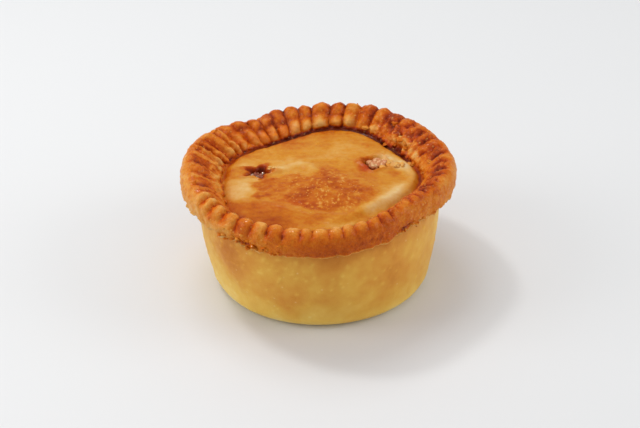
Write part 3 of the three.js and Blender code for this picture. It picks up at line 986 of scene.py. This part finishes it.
def skin_mesh():
    points = []
    first = []
    looks = []
    for row in range(len(rows)):
        apart = columns_apart(row)
        first.append(len(points))
        points.extend(rows[row, ::apart])
        looks.extend(row_looks[row, ::apart])
    foot_middle = len(points)
    lid_middle = foot_middle + 1
    points.extend([np.zeros(3), rows[-1].mean(axis=0)])
    looks.extend([row_looks[0].mean(axis=0), row_looks[-1].mean(axis=0)])

    faces = []
    parts = []

    def points_between(row, start, stop):
        apart = columns_apart(row)
        return [first[row] + (column % COLUMNS) // apart for column in range(start, stop + 1, apart)]

    for row in range(len(rows) - 1):
        step = max(columns_apart(row), columns_apart(row + 1))
        for column in range(0, COLUMNS, step):
            lower = points_between(row, column, column + step)
            upper = points_between(row + 1, column, column + step)
            faces.append(lower + upper[::-1])
            parts.append(ROW_PART[row + 1])
    for row, middle in ((0, foot_middle), (len(rows) - 1, lid_middle)):
        step = columns_apart(row)
        for column in range(0, COLUMNS, step):
            here, ahead = points_between(row, column, column + step)
            faces.append([middle, ahead, here] if row == 0 else [middle, here, ahead])
            parts.append(ROW_PART[row])

    mesh = smooth_mesh("pie_crust", points, faces, dict(zip(LOOKS, np.clip(looks, 0, 1).T)))
    finishes = {"case": dry_pastry, "rim": washed_rim, "lid": washed_lid}
    for crust_finish in finishes.values():
        mesh.materials.append(crust_finish)
    order = list(finishes)
    mesh.polygons.foreach_set("material_index", [order.index(part) for part in parts])
    mesh.update()
    return mesh


crust = bpy.data.objects.new("pie_crust", skin_mesh())
bpy.context.scene.collection.objects.link(crust)
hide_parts("pie")
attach(crust, "root")

# ----------------------------------------
# What shows in the vents. Chopped pork stands just under the lid: paler and pink in the right vent,
# baked dark and red in the left one, where set jelly round it catches the light.
# ----------------------------------------

ball = bmesh.new()
bmesh.ops.create_icosphere(ball, subdivisions=3, radius=1.0)
ball.verts.ensure_lookup_table()
BALL_POINTS = np.array([vertex.co[:] for vertex in ball.verts])
BALL_FACES = np.array([[vertex.index for vertex in face.verts] for face in ball.faces])
ball.free()


def lumps(name, material, pieces, roughness, tones=()):
    """One mesh of rough lumps from (centre, size, how flat, how it is turned), each with its tone."""
    points = []
    faces = []
    for number, (centre, size, flat, turned) in enumerate(pieces):
        shape = BALL_POINTS * (1 + roughness * cloud(BALL_POINTS, 0.9, 3, 7.3 * number + 1))[:, None]
        shape = shape * (1, 0.75, flat) * size
        spin = np.array(Matrix.Rotation(turned, 3, "Z"))
        faces.append(BALL_FACES + number * len(BALL_POINTS))
        points.append(shape @ spin.T + centre)
    looks = {"bake_and_light": np.repeat(tones, len(BALL_POINTS))} if tones else {}
    mesh = smooth_mesh(name, np.concatenate(points), np.concatenate(faces).tolist(), looks)
    mesh.materials.append(material)
    piece = bpy.data.objects.new(name, mesh)
    bpy.context.scene.collection.objects.link(piece)
    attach(piece, "root")
    return piece


def chopped_pork(name, flesh, fat, wet):
    """Cooked chopped pork: mottled flesh and fat, wet with jelly."""
    material, tree = empty_material(name)
    place = add(tree, "TexCoord").outputs["Object"]
    marbling = add(tree, "TexNoise", {"Vector": place, "Scale": 1 / (1.1 * MM), "Detail": 4.0})
    colour = browning(tree, marbling.outputs["Fac"], ((0.32, flesh), (0.5, flesh), (0.66, fat)))
    pork = add(
        tree,
        "BsdfPrincipled",
        {
            "Base Color": colour,
            "Roughness": wet,
            "Normal": pitted(tree, (marbling, 0.6, 0.4)),
            "Subsurface Weight": 0.1,
            "Subsurface Scale": 1 * MM,
            "Coat Weight": 0.18,
            "Coat Roughness": 0.15,
        },
    )
    add(tree, "OutputMaterial", {"Surface": pork.outputs["BSDF"]})
    return material


LID_LEVEL = LID_EDGE + LID_DOME
pale_pork = chopped_pork("cooked pork, pale", "#c47c46", "#e8c088", 0.45)
dark_pork = chopped_pork("cooked pork, browned", "#8c3c20", "#c4805c", 0.3)


def heap(centre, reach, count, sunk, sizes):
    """Lumps scattered in a vent, sunk below the lid."""
    pieces = []
    for number in range(count):
        angle = number * 2.4 + rng.uniform(-0.4, 0.4)
        far = reach * math.sqrt((number + 0.4) / count)
        x = centre[0] + far * 1.25 * math.cos(angle)
        y = centre[1] + far * math.sin(angle)
        spot_centre = np.array((x, y, LID_LEVEL - rng.uniform(*sunk)))
        pieces.append((spot_centre, rng.uniform(*sizes), 0.7, rng.uniform(0, 3)))
    return pieces


right_meat = heap((21.4, 10.4), reach=2.4, count=10, sunk=(0.9, 1.6), sizes=(1.4, 2.0))
lumps("vent_meat_right", pale_pork, right_meat, roughness=0.32)
left_meat = heap(LEFT_VENT, reach=2.3, count=9, sunk=(1.9, 2.6), sizes=(0.9, 1.4))
lumps("vent_meat_left", dark_pork, left_meat, roughness=0.4)

# Set jelly: clear, pale amber, wet on top
set_jelly, tree = empty_material("set pork jelly")
wet = add(
    tree,
    "BsdfPrincipled",
    {
        "Base Color": linear("#e8c8a8"),
        "Roughness": 0.08,
        "IOR": 1.36,
        "Transmission Weight": 0.75,
        "Coat Weight": 1.0,
        "Coat Roughness": 0.03,
    },
)
add(tree, "OutputMaterial", {"Surface": wet.outputs["BSDF"]})
JELLY_DEPTH = 1.4
JELLY = (
    (-24.2, 4.6, 0.9), (-20.4, 5.6, 0.8), (-22.4, 3.4, 0.8), (-19.6, 4.0, 0.6), (19.4, 8.8, 0.7),
    (22.6, 9.2, 0.8),
)
jelly = [(np.array((x, y, LID_LEVEL - JELLY_DEPTH)), size, 0.6, x) for x, y, size in JELLY]
lumps("vent_jelly", set_jelly, jelly, roughness=0.25)

# ----------------------------------------
# Crumbs. Chips of dry pastry break off the lip and round the vents, and stick where they fall.
# They are thickest at the front left, under the lip, and beside the right vent.
# ----------------------------------------


def on_rim(direction, far):
    """A place on the finished rim, by direction and travel from lip to seam."""
    column = int(np.argmin(np.abs(np.angle(np.exp(1j * (ANGLE - math.radians(direction)))))))
    row = int(np.argmin(np.abs(travel[:, 0] - far)))
    return rim_skin[row, column]


def on_top(x, y):
    """A place on the finished lid."""
    nearest = np.argmin((lid_x - x) ** 2 + (lid_y - y) ** 2)
    return lid_skin.reshape(-1, 3)[nearest]


crumbs = []
crumb_tones = []


def drop_crumb(where, sizes, tones):
    """A crumb on the skin. A bigger one sits deeper, as it was pressed in."""
    size = rng.uniform(*sizes)
    lift = (0.4 - 0.42 * size) * size
    crumbs.append((where + (0, 0, lift), size, rng.uniform(0.35, 0.65), rng.uniform(0, 6)))
    crumb_tones.append(rng.uniform(*tones))


for _ in range(30):
    drop_crumb(on_rim(rng.normal(-126, 11), abs(rng.normal(0, 0.12))), sizes=(0.4, 1.1), tones=(0.4, 0.66))
for _ in range(12):
    drop_crumb(on_rim(rng.normal(-42, 8), abs(rng.normal(0.03, 0.1))), sizes=(0.25, 0.6), tones=(0.35, 0.7))
for _ in range(13):
    drop_crumb(on_rim(rng.normal(34, 12), rng.uniform(1.3, 1.95)), sizes=(0.7, 1.7), tones=(0.36, 0.62))
for _ in range(16):
    drop_crumb(on_rim(rng.uniform(-180, 180), rng.uniform(0, 1.9)), sizes=(0.2, 0.4), tones=(0.3, 0.7))
for _ in range(12):
    drop_crumb(on_top(rng.normal(27, 2.4), rng.normal(9.8, 1.6)), sizes=(0.8, 1.7), tones=(0.2, 0.4))
for _ in range(8):
    drop_crumb(on_top(rng.normal(-17.3, 1.0), rng.normal(6.4, 0.9)), sizes=(0.3, 0.6), tones=(0.05, 0.35))
for _ in range(16):
    drop_crumb(on_top(rng.normal(3, 9), rng.normal(-8, 6)), sizes=(0.15, 0.3), tones=(0.2, 0.5))
crust_crumbs = lumps("crust_crumbs", washed_rim, crumbs, roughness=0.6, tones=crumb_tones)

# ----------------------------------------
# Studio: a pale floor, soft light from above and behind and from both sides, and the camera
# ----------------------------------------

scene = bpy.context.scene
FLOOR_HALF = 6.0
floor_mesh = bpy.data.meshes.new("floor")
floor_corners = [(x * FLOOR_HALF, y * FLOOR_HALF, 0) for x, y in ((-1, -1), (1, -1), (1, 1), (-1, 1))]
floor_mesh.from_pydata(floor_corners, [], [(0, 1, 2, 3)])
floor = bpy.data.objects.new("floor", floor_mesh)
scene.collection.objects.link(floor)
paper, tree = empty_material("pale paper")
sheet = add(tree, "BsdfPrincipled", {"Base Color": linear("#dcddde"), "Roughness": 0.6})
add(tree, "OutputMaterial", {"Surface": sheet.outputs["BSDF"]})
floor_mesh.materials.append(paper)


def softbox(name, place, size, power):
    lamp = bpy.data.lights.new(name, "AREA")
    lamp.shape = "RECTANGLE"
    lamp.size, lamp.size_y = size
    lamp.energy = power
    box = bpy.data.objects.new(name, lamp)
    box.location = place
    box.rotation_euler = (Vector((0, 0, 0.03)) - Vector(place)).to_track_quat("-Z", "Y").to_euler()
    scene.collection.objects.link(box)


softbox("softbox_top", (-0.2, 0.3, 0.9), (0.5, 0.4), 2.3)
softbox("lamp_back_left", (-0.32, 0.22, 0.7), (0.09, 0.09), 1.1)
softbox("softbox_left", (-0.8, -0.1, 0.4), (0.4, 0.6), 2.4)
softbox("softbox_right", (0.8, -0.1, 0.4), (0.4, 0.6), 2.2)
world = bpy.data.worlds.new("studio")
world.use_nodes = True
sky = world.node_tree.nodes["Background"]
sky.inputs["Color"].default_value = (1, 1, 1, 1)
sky.inputs["Strength"].default_value = 0.6
scene.world = world
scene.view_settings.view_transform = "Standard"

CAMERA_PLACE = np.array((0, -405, 291.5))
CAMERA_PITCH = 33.5
CAMERA_ROLL = -1.0
camera = bpy.data.cameras.new("camera")
camera.lens = 75
camera.sensor_width = 36
viewer = bpy.data.objects.new("camera", camera)
viewer.location = (CAMERA_PLACE + SHIFT) * MM
tilt = Matrix.Rotation(math.radians(90 - CAMERA_PITCH), 3, "X")
roll = Matrix.Rotation(math.radians(CAMERA_ROLL), 3, "Z")
viewer.rotation_euler = (tilt @ roll).to_euler()
scene.collection.objects.link(viewer)
scene.camera = viewer
